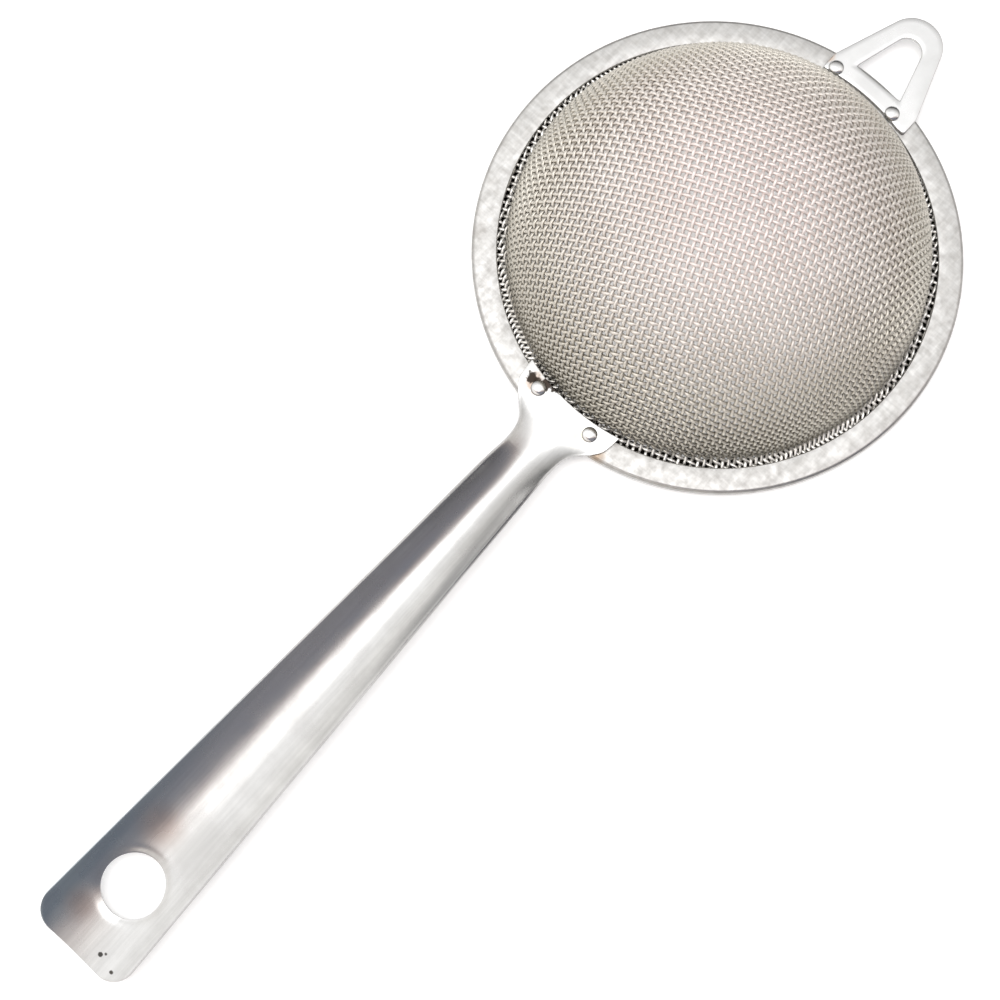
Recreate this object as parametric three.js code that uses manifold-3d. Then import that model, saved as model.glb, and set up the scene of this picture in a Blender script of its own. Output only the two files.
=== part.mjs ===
// A hand-held flour sifter: a woven-wire bowl in a folded sheet-metal rim, with a long pressed
// channel handle on one side and a small rest hook on the other, held by four rivets.
//
// Millimetres, +Z up. The sifter lies on its rim with the bowl's dome upward. X runs along the
// handle's axis, the handle towards -X and the hook towards +X. Every piece is drawn from the rim's
// centre, and the whole is then moved along X so that the origin is under the middle of its length.

import * as THREE from 'three';
import { mergeVertices } from 'three/addons/utils/BufferGeometryUtils.js';
import Module from 'manifold-3d';

const wasm = await Module();
wasm.setup();

// ---- Rim: one sheet ring whose outer edge is folded under, so that it grips the mesh ----
const RIM_OUTER_R = 50;
const RIM_TOP_INNER_R = 44.8;
const RIM_UNDER_INNER_R = 42.8;
const RIM_THICKNESS = 2.1;
const RIM_SHEET = 0.5;
const RIM_EDGE_ROUND = 0.8;
const RIM_SEGMENTS = 72;

// ---- Mesh bowl: a round dome with steep walls, two wires thick ----
const FIT_GAP = 0.02;
const MESH_THICKNESS = RIM_THICKNESS - 2 * RIM_SHEET - 2 * FIT_GAP;
const MESH_MIDDLE_Z = RIM_THICKNESS / 2;
const MESH_EDGE_R = 49.1;
const BOWL_R = 42.5;
const BOWL_HEIGHT = 36;
const BOWL_SQUARENESS = 1.85;
const BOWL_FOOT_RADIUS = 2.2;
const BOWL_SEGMENTS = 60;

// ---- Handle: one pressed strip ----
const HANDLE_SHEET = 0.8;
const HANDLE_END_X = -186;
const HANDLE_END_HALF_WIDTH = 11.4;
const HANDLE_CORNER_RADIUS = 5;
const NECK_X = -58;
const NECK_HALF_WIDTH = 5.4;
const CHANNEL_START_X = -47;
const CHANNEL_FULL_X = -66;
const CHANNEL_DEPTH_NECK = 3.2;
const CHANNEL_DEPTH_END = 1.9;
const FLANGE_INNER_R = 44;
const FLANGE_INNER_X = -41;
const FLANGE_SIDE_SHIFT = 0.8;
const HANGING_HOLE_X = -169.8;
const HANGING_HOLE_R = 6.3;
const HANDLE_STEPS_ACROSS = 12;

// ---- Hook plate: a flat stamping with a rounded triangular outline and cut-out ----
const HOOK_SHEET = 0.8;
const HOOK_SIDE_SHIFT = -1.2;
const HOOK_INNER_R = 45.2;
const HOOK_BASE_HALF_WIDTH = 10.9;
const HOOK_SHOULDER_X = 48.2;
const HOOK_NOSE_X = 60;
const HOOK_NOSE_RADIUS = 6.3;
const CUTOUT_BASE_X = 49;
const CUTOUT_BASE_HALF_WIDTH = 5.7;
const CUTOUT_NOSE_X = 58.3;
const CUTOUT_NOSE_RADIUS = 3;

// ---- Rivets ----
const RIVET_CIRCLE_R = 46.4;
const HANDLE_RIVET_ANGLE = THREE.MathUtils.degToRad(8.6);
const HOOK_RIVET_ANGLE = THREE.MathUtils.degToRad(9.3);
const RIVET_HEAD_R = 1.6;
const RIVET_HEAD_HEIGHT = 0.7;
const RIVET_SHANK_R = 0.95;
const RIVET_HOLE_R = 1;

const PLATE_Z = RIM_THICKNESS + FIT_GAP;

const COLOURS = {
  rim: 0xd6d4ce,
  mesh_bowl: 0xb9b2a8,
  handle: 0xcfcdca,
  hook_plate: 0xe4e3df,
  rivet: 0xdad8d3,
};

function metal(colour, roughness) {
  return new THREE.MeshStandardMaterial({ color: colour, roughness, metalness: 1 });
}

function namedMesh(name, geometry, material) {
  const mesh = new THREE.Mesh(geometry, material);
  mesh.name = name;
  return mesh;
}

// ---- Solids: closed geometry to manifold and back ----

function toSolid(geometry) {
  const bare = geometry.clone();
  bare.deleteAttribute('normal');
  bare.deleteAttribute('uv');
  const merged = mergeVertices(bare, 1e-4);
  const vertProperties = new Float32Array(merged.attributes.position.array);
  const triVerts = new Uint32Array(merged.index.array);
  return new wasm.Manifold(new wasm.Mesh({ numProp: 3, vertProperties, triVerts }));
}

function toGeometry(solid) {
  const { vertProperties, triVerts } = solid.getMesh();
  const geometry = new THREE.BufferGeometry();
  geometry.setAttribute('position', new THREE.BufferAttribute(vertProperties, 3));
  geometry.setIndex(new THREE.BufferAttribute(triVerts, 1));
  geometry.computeVertexNormals();
  return geometry;
}

function upright(geometry) {
  return geometry.rotateX(Math.PI / 2);
}

function uprightCylinder(radius, height, segments, x, y, z) {
  return upright(new THREE.CylinderGeometry(radius, radius, height, segments)).translate(x, y, z);
}

function latheAboutZ(profile, segments) {
  return upright(new THREE.LatheGeometry(profile, segments));
}

function withRivetHoles(solid) {
  let drilled = solid;
  for (const { x, y } of rivetPlaces()) {
    drilled = drilled.subtract(toSolid(uprightCylinder(RIVET_HOLE_R, 20, 16, x, y, 0)));
  }
  return drilled;
}

// ---- Rim ----

// The rim's section, from the top lip round the folded outer edge to the under lip and back inside.
function rimSection() {
  const inner = RIM_OUTER_R - RIM_SHEET;
  const roundCentreR = RIM_OUTER_R - RIM_EDGE_ROUND;
  const section = [
    new THREE.Vector2(RIM_TOP_INNER_R, RIM_THICKNESS - RIM_SHEET),
    new THREE.Vector2(inner, RIM_THICKNESS - RIM_SHEET),
    new THREE.Vector2(inner, RIM_SHEET),
    new THREE.Vector2(RIM_UNDER_INNER_R, RIM_SHEET),
    new THREE.Vector2(RIM_UNDER_INNER_R, 0),
  ];
  const arcs = [
    [RIM_EDGE_ROUND, -Math.PI / 2],
    [RIM_THICKNESS - RIM_EDGE_ROUND, 0],
  ];
  const arcSteps = 3;
  for (const [centreZ, startAngle] of arcs) {
    for (let i = 0; i <= arcSteps; i += 1) {
      const angle = startAngle + (i / arcSteps) * (Math.PI / 2);
      section.push(new THREE.Vector2(
        roundCentreR + RIM_EDGE_ROUND * Math.cos(angle),
        centreZ + RIM_EDGE_ROUND * Math.sin(angle),
      ));
    }
  }
  section.push(new THREE.Vector2(RIM_TOP_INNER_R, RIM_THICKNESS));
  section.push(section[0].clone());
  return section;
}

function makeRim() {
  const ring = latheAboutZ(rimSection(), RIM_SEGMENTS);
  return toGeometry(withRivetHoles(toSolid(ring)));
}

// ---- Mesh bowl ----

// The middle line of the bowl's wall, from the crown on the axis to the flat edge inside the rim.
function bowlMiddleLine() {
  const line = [];
  const domeSteps = 13;
  const footZ = MESH_MIDDLE_Z + BOWL_FOOT_RADIUS;
  const footShare = Math.asin((BOWL_FOOT_RADIUS / BOWL_HEIGHT) ** (BOWL_SQUARENESS / 2));
  for (let i = 0; i <= domeSteps; i += 1) {
    const angle = Math.PI / 2 + (i / domeSteps) * (footShare - Math.PI / 2);
    const r = BOWL_R * Math.abs(Math.cos(angle)) ** (2 / BOWL_SQUARENESS);
    const z = MESH_MIDDLE_Z + BOWL_HEIGHT * Math.sin(angle) ** (2 / BOWL_SQUARENESS);
    line.push(new THREE.Vector2(i === 0 ? 0 : r, z));
  }
  const footR = line[line.length - 1].x + BOWL_FOOT_RADIUS;
  const footSteps = 4;
  for (let i = 1; i <= footSteps; i += 1) {
    const angle = Math.PI + (i / footSteps) * (Math.PI / 2);
    line.push(new THREE.Vector2(
      footR + BOWL_FOOT_RADIUS * Math.cos(angle),
      footZ + BOWL_FOOT_RADIUS * Math.sin(angle),
    ));
  }
  line.push(new THREE.Vector2(MESH_EDGE_R, MESH_MIDDLE_Z));
  return line;
}

// The line moved sideways by a distance, square to itself: positive is outward and upward.
function offsetLine(line, distance) {
  return line.map((point, i) => {
    const before = line[Math.max(i - 1, 0)];
    const after = line[Math.min(i + 1, line.length - 1)];
    const along = after.clone().sub(before).normalize();
    const flat = i === 0 || i === line.length - 1;
    const outward = flat ? new THREE.Vector2(0, 1) : new THREE.Vector2(-along.y, along.x);
    return point.clone().addScaledVector(outward, distance);
  });
}

function makeMeshBowl() {
  const middle = bowlMiddleLine();
  const outside = offsetLine(middle, MESH_THICKNESS / 2);
  const inside = offsetLine(middle, -MESH_THICKNESS / 2);
  const profile = [...inside, ...outside.reverse()];
  return toGeometry(withRivetHoles(toSolid(latheAboutZ(profile, BOWL_SEGMENTS))));
}

// ---- Handle ----

function handleTaper(x) {
  const share = (x - NECK_X) / (HANDLE_END_X - NECK_X);
  return THREE.MathUtils.lerp(NECK_HALF_WIDTH, HANDLE_END_HALF_WIDTH, share);
}

// Places along the handle: rounded end, taper, then the flare to the flange. Each has the sheet's half
// width there, and the half width that the channel is pressed to, which runs on past the corners.
function handleStations() {
  const stations = [];
  const cornerSteps = 6;
  for (let i = 0; i <= cornerSteps; i += 1) {
    const angle = (i / cornerSteps) * (Math.PI / 2);
    const x = HANDLE_END_X + HANDLE_CORNER_RADIUS * (1 - Math.cos(angle));
    const cornerLoss = HANDLE_CORNER_RADIUS * (1 - Math.sin(angle));
    stations.push({ x, halfWidth: handleTaper(x) - cornerLoss, pressed: handleTaper(x) });
  }
  const taperStart = HANDLE_END_X + HANDLE_CORNER_RADIUS;
  const taperSteps = 13;
  for (let i = 1; i < taperSteps; i += 1) {
    const x = THREE.MathUtils.lerp(taperStart, NECK_X, i / taperSteps);
    stations.push({ x, halfWidth: handleTaper(x), pressed: handleTaper(x) });
  }
  const flare = new THREE.SplineCurve([
    new THREE.Vector2(NECK_X, NECK_HALF_WIDTH),
    new THREE.Vector2(-54.7, 5.7),
    new THREE.Vector2(-52.2, 6.6),
    new THREE.Vector2(-50.2, 8.4),
    new THREE.Vector2(-48.4, 10.1),
    new THREE.Vector2(-46.2, 11.4),
    new THREE.Vector2(FLANGE_INNER_X, 11.9),
  ]);
  for (const point of flare.getPoints(14)) {
    stations.push({ x: point.x, halfWidth: point.y, pressed: point.y });
  }
  return stations;
}

function channelDepth(x) {
  const rise = THREE.MathUtils.smoothstep(-x, -CHANNEL_START_X, -CHANNEL_FULL_X);
  const share = THREE.MathUtils.clamp((x - CHANNEL_FULL_X) / (HANDLE_END_X - CHANNEL_FULL_X), 0, 1);
  return rise * THREE.MathUtils.lerp(CHANNEL_DEPTH_NECK, CHANNEL_DEPTH_END, share);
}

function flangeShift(x) {
  return FLANGE_SIDE_SHIFT * THREE.MathUtils.smoothstep(x, NECK_X, -46);
}

// Bends a flat box of unit size to the handle: its length takes the stations, its width the channel.
function bendToHandle(box, stations) {
  const position = box.attributes.position;
  for (let i = 0; i < position.count; i += 1) {
    const index = Math.round((position.getX(i) + 0.5) * (stations.length - 1));
    const { x, halfWidth, pressed } = stations[index];
    const across = 2 * position.getY(i) * halfWidth;
    const side = 2 * position.getZ(i);
    const depth = channelDepth(x);
    const slope = (2 * depth * across) / pressed ** 2;
    const reach = (side * HANDLE_SHEET) / 2 / Math.hypot(slope, 1);
    const y = flangeShift(x) + across - slope * reach;
    const z = PLATE_Z + HANDLE_SHEET / 2 + depth * (across / pressed) ** 2 + reach;
    position.setXYZ(i, x, y, z);
  }
  return box;
}

function makeHandle() {
  const stations = handleStations();
  const strip = new THREE.BoxGeometry(1, 1, 1, stations.length - 1, HANDLE_STEPS_ACROSS, 1);
  const bent = toSolid(bendToHandle(strip, stations));
  const bowlSide = toSolid(uprightCylinder(FLANGE_INNER_R, 20, RIM_SEGMENTS, 0, 0, 0));
  const hole = toSolid(uprightCylinder(HANGING_HOLE_R, 20, 32, HANGING_HOLE_X, 0, 0));
  return toGeometry(withRivetHoles(bent.subtract(bowlSide).subtract(hole)));
}

// ---- Hook plate ----

// A symmetric outline from a straight base to a round nose, tangent where the side meets the nose.
function nosedShape(baseX, baseHalfWidth, shoulderX, noseX, noseRadius) {
  const reach = noseX - shoulderX;
  const span = Math.hypot(reach, baseHalfWidth);
  const tangentAngle = Math.atan2(baseHalfWidth, -reach) - Math.acos(noseRadius / span);
  const shape = new THREE.Shape();
  shape.moveTo(baseX, -baseHalfWidth);
  shape.lineTo(shoulderX, -baseHalfWidth);
  shape.absarc(noseX, 0, noseRadius, -tangentAngle, tangentAngle, false);
  shape.lineTo(shoulderX, baseHalfWidth);
  shape.lineTo(baseX, baseHalfWidth);
  shape.closePath();
  return shape;
}

function makeHookPlate() {
  const outline = nosedShape(
    RIM_TOP_INNER_R - 3, HOOK_BASE_HALF_WIDTH, HOOK_SHOULDER_X, HOOK_NOSE_X, HOOK_NOSE_RADIUS,
  );
  outline.holes.push(nosedShape(
    CUTOUT_BASE_X, CUTOUT_BASE_HALF_WIDTH, CUTOUT_BASE_X + 0.2, CUTOUT_NOSE_X, CUTOUT_NOSE_RADIUS,
  ));
  const plate = new THREE.ExtrudeGeometry(outline, {
    depth: HOOK_SHEET,
    bevelEnabled: false,
    curveSegments: 14,
  });
  plate.translate(0, HOOK_SIDE_SHIFT, PLATE_Z);
  const bowlSide = toSolid(uprightCylinder(HOOK_INNER_R, 20, RIM_SEGMENTS, 0, 0, 0));
  return toGeometry(withRivetHoles(toSolid(plate).subtract(bowlSide)));
}

// ---- Rivets ----

function rivetPlaces() {
  const handleSide = Math.PI - FLANGE_SIDE_SHIFT / RIVET_CIRCLE_R;
  return [
    { name: 'handle_rivet_left', angle: handleSide - HANDLE_RIVET_ANGLE },
    { name: 'handle_rivet_right', angle: handleSide + HANDLE_RIVET_ANGLE },
    { name: 'hook_rivet_left', angle: HOOK_RIVET_ANGLE },
    { name: 'hook_rivet_right', angle: -HOOK_RIVET_ANGLE },
  ].map(({ name, angle }) => ({
    name,
    x: RIVET_CIRCLE_R * Math.cos(angle),
    y: RIVET_CIRCLE_R * Math.sin(angle),
  }));
}

// A domed head on a straight shank that ends flush with the rim's underside.
function makeRivet() {
  const seatZ = PLATE_Z + HANDLE_SHEET + FIT_GAP;
  const profile = [
    new THREE.Vector2(0, 0),
    new THREE.Vector2(RIVET_SHANK_R, 0),
    new THREE.Vector2(RIVET_SHANK_R, seatZ),
  ];
  const headSteps = 4;
  for (let i = 0; i <= headSteps; i += 1) {
    const angle = (i / headSteps) * (Math.PI / 2);
    const r = i === headSteps ? 0 : RIVET_HEAD_R * Math.cos(angle);
    profile.push(new THREE.Vector2(r, seatZ + RIVET_HEAD_HEIGHT * Math.sin(angle)));
  }
  return latheAboutZ(profile, 16);
}

// ---- Assembly ----

const sifter = new THREE.Group();
sifter.name = 'flour_sifter';
sifter.position.x = -(HANDLE_END_X + HOOK_NOSE_X + HOOK_NOSE_RADIUS) / 2;
sifter.add(namedMesh('rim', makeRim(), metal(COLOURS.rim, 0.38)));
sifter.add(namedMesh('mesh_bowl', makeMeshBowl(), metal(COLOURS.mesh_bowl, 0.45)));
sifter.add(namedMesh('handle', makeHandle(), metal(COLOURS.handle, 0.3)));
sifter.add(namedMesh('hook_plate', makeHookPlate(), metal(COLOURS.hook_plate, 0.3)));
for (const { name, x, y } of rivetPlaces()) {
  const rivet = namedMesh(name, makeRivet(), metal(COLOURS.rivet, 0.3));
  rivet.position.set(x, y, 0);
  sifter.add(rivet);
}

export default sifter;
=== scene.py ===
# %% [markdown]
# # A hand-held flour sifter
#
# The sifter is a bowl of woven steel wire held in a folded metal ring, with a long pressed handle on
# one side and a small hook plate on the other. It lies on its ring with the bowl upward. The solid
# model of it comes in first, and every finer piece made here sits exactly where that model says.

# %% Load the solid model
import math

import bmesh
import bpy
import numpy as np
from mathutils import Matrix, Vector


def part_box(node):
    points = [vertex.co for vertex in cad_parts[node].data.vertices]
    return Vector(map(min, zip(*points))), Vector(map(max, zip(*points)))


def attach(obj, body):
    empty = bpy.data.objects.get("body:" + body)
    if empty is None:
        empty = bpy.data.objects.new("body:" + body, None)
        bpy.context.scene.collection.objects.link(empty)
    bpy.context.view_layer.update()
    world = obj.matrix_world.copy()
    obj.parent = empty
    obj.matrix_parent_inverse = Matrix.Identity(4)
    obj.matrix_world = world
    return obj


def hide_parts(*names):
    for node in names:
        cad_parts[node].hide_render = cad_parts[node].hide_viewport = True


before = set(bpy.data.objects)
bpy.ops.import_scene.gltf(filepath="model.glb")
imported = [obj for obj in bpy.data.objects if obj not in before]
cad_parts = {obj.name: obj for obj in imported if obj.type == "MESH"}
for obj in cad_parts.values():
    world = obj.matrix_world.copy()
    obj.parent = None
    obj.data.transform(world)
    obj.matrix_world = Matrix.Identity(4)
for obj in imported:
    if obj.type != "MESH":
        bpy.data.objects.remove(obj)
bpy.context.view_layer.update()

# %% [markdown]
# ## Where things are
#
# The ring's centre is the point that the bowl, the flange and the hook are drawn round, so it is read
# from the solid model. Sizes below are written in millimetres, because that is how a maker would give
# them, and `MM` turns them into Blender's metres.

# %% The ring's centre and the heights of the flat pieces
MM = 0.001
rim_low, rim_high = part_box("rim")
CENTRE_X = (rim_low.x + rim_high.x) / 2 / MM
RIM_R = (rim_high.x - rim_low.x) / 2 / MM
RIM_THICK = (rim_high.z - rim_low.z) / MM
PLATE_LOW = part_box("hook_plate")[0].z / MM
PLATE_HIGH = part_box("hook_plate")[1].z / MM
print(f"ring centre at x {CENTRE_X:.2f} mm, radius {RIM_R:.1f}, thickness {RIM_THICK:.2f}")

# %% [markdown]
# ## Helpers for meshes
#
# Each piece is a list of points and faces, given from the ring's centre in millimetres. The helper
# moves them to their place and lets bmesh turn all faces outward, so the object itself stays at the
# origin, unturned and unscaled. A turned piece, like the ring, is a profile carried round the axis.


# %% Make a mesh piece, or turn a profile
def new_piece(name, points, faces, material):
    """A smooth-shaded piece from points in mm from the ring's centre."""
    mesh = bpy.data.meshes.new(name)
    mesh.from_pydata([((x + CENTRE_X) * MM, y * MM, z * MM) for x, y, z in points], [], faces)
    shell = bmesh.new()
    shell.from_mesh(mesh)
    bmesh.ops.remove_doubles(shell, verts=shell.verts, dist=1e-7)
    bmesh.ops.recalc_face_normals(shell, faces=shell.faces)
    shell.to_mesh(mesh)
    shell.free()
    mesh.polygons.foreach_set("use_smooth", [True] * len(mesh.polygons))
    mesh.materials.append(material)
    piece = bpy.data.objects.new(name, mesh)
    bpy.context.scene.collection.objects.link(piece)
    return piece


def turned(profile, steps):
    """Points and faces of a closed profile of (radius, height) carried once round the axis."""
    points = []
    for step in range(steps):
        angle = 2 * math.pi * step / steps
        points += [(r * math.cos(angle), r * math.sin(angle), z) for r, z in profile]
    count = len(profile)
    faces = []
    for step in range(steps):
        here, there = step * count, (step + 1) % steps * count
        for i in range(count):
            j = (i + 1) % count
            faces.append((here + i, here + j, there + j, there + i))
    return points, faces


def arc(centre_r, centre_z, radius, start, end, steps):
    """Points of (radius, height) on an arc, its angles in degrees."""
    angles = [math.radians(start + (end - start) * i / steps) for i in range(steps + 1)]
    return [(centre_r + radius * math.cos(a), centre_z + radius * math.sin(a)) for a in angles]


def smooth_share(value, start, end):
    """0 before start, 1 after end, and a smooth S between them."""
    share = min(max((value - start) / (end - start), 0), 1)
    return share * share * (3 - 2 * share)


def mix(a, b, share):
    """The value that lies that share of the way from a to b."""
    return a + (b - a) * share


# %% [markdown]
# ## Helpers for node trees
#
# Materials and Geometry Nodes are both built from nodes. One helper adds a node, sets its options, and
# fills its sockets: a socket given as a value is linked, and anything else is typed into it. The rest
# name the few kinds of node that come back again and again.


# %% Add nodes to a tree
def add(tree, kind, sockets=None, **options):
    """One new node, with its options set and its sockets filled."""
    node = tree.nodes.new(kind)
    for name, value in options.items():
        setattr(node, name, value)
    for key, value in (sockets or {}).items():
        if isinstance(value, bpy.types.NodeSocket):
            tree.links.new(value, node.inputs[key])
        else:
            node.inputs[key].default_value = value
    return node


def calc(tree, operation, a, b=None):
    """The result of one Math node."""
    sockets = {0: a} if b is None else {0: a, 1: b}
    return add(tree, "ShaderNodeMath", sockets, operation=operation).outputs[0]


def calc_vector(tree, operation, a, b=None):
    """The outputs of one Vector Math node: its Vector and its Value."""
    sockets = {0: a} if b is None else {0: a, 1: b}
    return add(tree, "ShaderNodeVectorMath", sockets, operation=operation).outputs


def ramp(tree, value, start, end, low=0.0, high=1.0, kind="LINEAR"):
    """low up to the start, high from the end on, and a slope between them."""
    return add(
        tree,
        "ShaderNodeMapRange",
        {"Value": value, 1: start, 2: end, 3: low, 4: high},
        interpolation_type=kind,
    ).outputs["Result"]


def grey(tree, value):
    """A grey that has the same value in all three channels."""
    return add(tree, "ShaderNodeCombineXYZ", {0: value, 1: value, 2: value}).outputs[0]


def blend_colours(tree, share, first, second, mode="MIX"):
    """The second colour laid over the first, up to that share."""
    return add(
        tree, "ShaderNodeMix", {0: share, 6: first, 7: second}, data_type="RGBA", blend_type=mode
    ).outputs[2]


def colour_ramp(tree, value, stops, interpolation="LINEAR"):
    """The colour for a value, read from a list of (position, colour) stops."""
    node = add(tree, "ShaderNodeValToRGB", {"Fac": value})
    node.color_ramp.interpolation = interpolation
    elements = node.color_ramp.elements
    for element, (position, colour) in zip(elements, (stops[0], stops[-1])):
        element.position = position
        element.color = (*colour, 1)
    for position, colour in stops[1:-1]:
        elements.new(position).color = (*colour, 1)
    return node.outputs["Color"]


# %% [markdown]
# ## Camera
#
# The sifter is seen from almost straight above, turned so that the handle runs to the lower left. A
# fairly long lens keeps the ring nearly round. The camera's place is in millimetres from the ring's
# centre, and its turn is in degrees.

# %% Camera above the ring
CAMERA_PLACE = (-103.5, -37.3, 315.3)
CAMERA_TURN = (9.164, 0.415, -47.793)
CAMERA_LENS = 57.62
CAMERA_SENSOR = 36

camera = bpy.data.objects.new("camera", bpy.data.cameras.new("camera"))
bpy.context.scene.collection.objects.link(camera)
camera.location = [(v + from_x) * MM for v, from_x in zip(CAMERA_PLACE, (CENTRE_X, 0, 0))]
camera.rotation_euler = [math.radians(angle) for angle in CAMERA_TURN]
camera.data.sensor_width = CAMERA_SENSOR
camera.data.lens = CAMERA_LENS
bpy.context.scene.camera = camera
print("camera at", [round(v, 4) for v in camera.location])

# %% [markdown]
# ## Floor and studio light
#
# Polished steel shows its surroundings more than its own colour, so the surroundings are what has to be
# right. A white sky gives the flat plates their bright white. One side of the studio is dark, and the
# wall of the handle that faces it shows a dark band. The floor is plain white paper on a light table,
# so it glows a little: that softens the shadows and lights the gaps of the cloth from below.

# %% Floor
FLOOR_HALF_SIDE = 3.0
FLOOR_GLOW = 0.32


def make_floor():
    """A square of white paper, its half side in metres."""
    material = bpy.data.materials.new("floor_paper")
    material.use_nodes = True
    shader = material.node_tree.nodes["Principled BSDF"]
    shader.inputs["Base Color"].default_value = (0.9, 0.9, 0.9, 1)
    shader.inputs["Roughness"].default_value = 0.9
    shader.inputs["Emission Color"].default_value = (1, 1, 1, 1)
    shader.inputs["Emission Strength"].default_value = FLOOR_GLOW
    side = FLOOR_HALF_SIDE
    corners = [(-side, -side, 0), (side, -side, 0), (side, side, 0), (-side, side, 0)]
    mesh = bpy.data.meshes.new("floor")
    mesh.from_pydata(corners, [], [(0, 1, 2, 3)])
    mesh.materials.append(material)
    floor = bpy.data.objects.new("floor", mesh)
    bpy.context.scene.collection.objects.link(floor)
    return floor


print(make_floor().name, "is", 2 * FLOOR_HALF_SIDE, "m across")

# %% [markdown]
# The sky is one shader that reads the direction of the light. It is white overhead and darker towards
# the horizon, which gives rounded edges their grey line. A curtain hangs across one side: the sky
# falls to dark there much sooner, through a warm brown and a cool blue grey. The far side, beyond the
# hook, is dimmer low down.


# %% Sky with one dark side
DARK_SIDE = (-0.72, -0.69)
HOOK_SIDE = (0.85, 0.40)
CURTAIN_EDGE = (0.32, 0.55)
CURTAIN_COLOURS = [
    (0.14, (1.0, 1.0, 1.0)),
    (0.27, (0.84, 0.81, 0.785)),
    (0.35, (0.52, 0.44, 0.41)),
    (0.42, (0.29, 0.215, 0.205)),
    (0.51, (0.135, 0.165, 0.205)),
    (0.66, (0.20, 0.195, 0.225)),
    (0.90, (0.25, 0.255, 0.28)),
]
SKY_BY_HEIGHT = [(0.12, (0.34, 0.34, 0.34)), (0.5, (0.86, 0.85, 0.83)), (0.9, (1.0, 1.0, 1.0))]
SKY_STRENGTH = 1.75


def towards(tree, parts, side):
    """How far the light's direction points to one side of the studio."""
    return calc(
        tree,
        "ADD",
        calc(tree, "MULTIPLY", parts["X"], side[0]),
        calc(tree, "MULTIPLY", parts["Y"], side[1]),
    )


def make_sky():
    """The world's shader: white sky times curtain times the dimmer low light beyond the hook."""
    sky = bpy.data.worlds.new("studio")
    sky.use_nodes = True
    tree = sky.node_tree
    tree.nodes.clear()
    direction = add(tree, "ShaderNodeTexCoord").outputs["Generated"]
    parts = add(tree, "ShaderNodeSeparateXYZ", {0: direction}).outputs
    sideways = calc(tree, "ABSOLUTE", parts["X"])
    narrow = ramp(tree, sideways, *CURTAIN_EDGE, 1.0, 0.1, "SMOOTHSTEP")
    darkness = calc(tree, "MULTIPLY", towards(tree, parts, DARK_SIDE), narrow)
    curtain = colour_ramp(tree, calc(tree, "ADD", darkness, 0.2), CURTAIN_COLOURS)
    level = colour_ramp(tree, parts["Z"], SKY_BY_HEIGHT, "EASE")
    light = blend_colours(tree, 1.0, curtain, level, "MULTIPLY")
    dimmer = ramp(tree, towards(tree, parts, HOOK_SIDE), 0.33, 0.85, 1.0, 0.12)
    light = blend_colours(tree, 1.0, light, grey(tree, dimmer), "MULTIPLY")
    glow = add(tree, "ShaderNodeBackground", {"Color": light, "Strength": SKY_STRENGTH})
    add(tree, "ShaderNodeOutputWorld", {"Surface": glow.outputs["Background"]})
    bpy.context.scene.world = sky
    return sky


print("sky:", len(make_sky().node_tree.nodes), "nodes")

# %% [markdown]
# A broad weak lamp overhead gives the sifter a faint soft shadow. The plain view transform shows the
# colours as they are mixed, with no film look on top.

# %% Overhead lamp
LAMP_PLACE = (0.1, 0.1, 1.4)
LAMP_SIZE = 0.9
LAMP_POWER = 3

lamp_data = bpy.data.lights.new("overhead", "AREA")
lamp_data.shape = "DISK"
lamp_data.size = LAMP_SIZE
lamp_data.energy = LAMP_POWER
lamp = bpy.data.objects.new("overhead", lamp_data)
bpy.context.scene.collection.objects.link(lamp)
lamp.location = LAMP_PLACE
lamp.rotation_euler = (-Vector(LAMP_PLACE)).to_track_quat("-Z", "Y").to_euler()
bpy.context.scene.view_settings.view_transform = "Standard"
print("lamp:", LAMP_POWER, "W at a height of", LAMP_PLACE[2], "m")

# %% [markdown]
# ## Steel
#
# Every piece is steel, but no two are finished alike. The shared start is a metal whose colour and gloss
# drift a little over the surface, as rolled sheet does. The patterns read Object coordinates, so they
# stay with the piece.


# %% A metal with drifting colour and gloss
def steel(name, light, dark, gloss, patch_size):
    """A new steel as a dict that finishes add to. A gloss of None leaves the gloss to the finish."""
    material = bpy.data.materials.new(name)
    material.use_nodes = True
    tree = material.node_tree
    shader = tree.nodes["Principled BSDF"]
    shader.inputs["Metallic"].default_value = 1.0
    coords = add(tree, "ShaderNodeTexCoord").outputs["Object"]
    drift = add(
        tree,
        "ShaderNodeTexNoise",
        {"Vector": coords, "Scale": 1 / (patch_size * MM), "Detail": 5.0, "Roughness": 0.6},
    ).outputs["Fac"]
    share = ramp(tree, drift, 0.35, 0.65)
    return {
        "material": material,
        "tree": tree,
        "shader": shader,
        "coords": coords,
        "colour": blend_colours(tree, share, (*dark, 1), (*light, 1)),
        "rough": ramp(tree, drift, 0.3, 0.7, gloss[1], gloss[0]) if gloss else None,
    }


# %% [markdown]
# Each piece then adds its own wear. Fine lines come from noise that is stretched one way. Stains, rust
# and specks are round patches with a soft or a ragged edge, placed by their distance from a point.


# %% Lines, spots and tints that a finish can add
def streaks(finish, stretch, scale, turn=0.0, seed=0.0):
    """Noise pulled out into fine lines: stretch gives how much it is scaled along X, Y and Z."""
    tree = finish["tree"]
    placed = add(
        tree,
        "ShaderNodeMapping",
        {"Vector": finish["coords"], "Rotation": (0, 0, turn), "Scale": stretch},
    ).outputs["Vector"]
    return add(
        tree,
        "ShaderNodeTexNoise",
        {"Vector": placed, "W": seed, "Scale": scale, "Detail": 3.0, "Roughness": 0.65},
        noise_dimensions="4D",
    ).outputs["Fac"]


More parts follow.
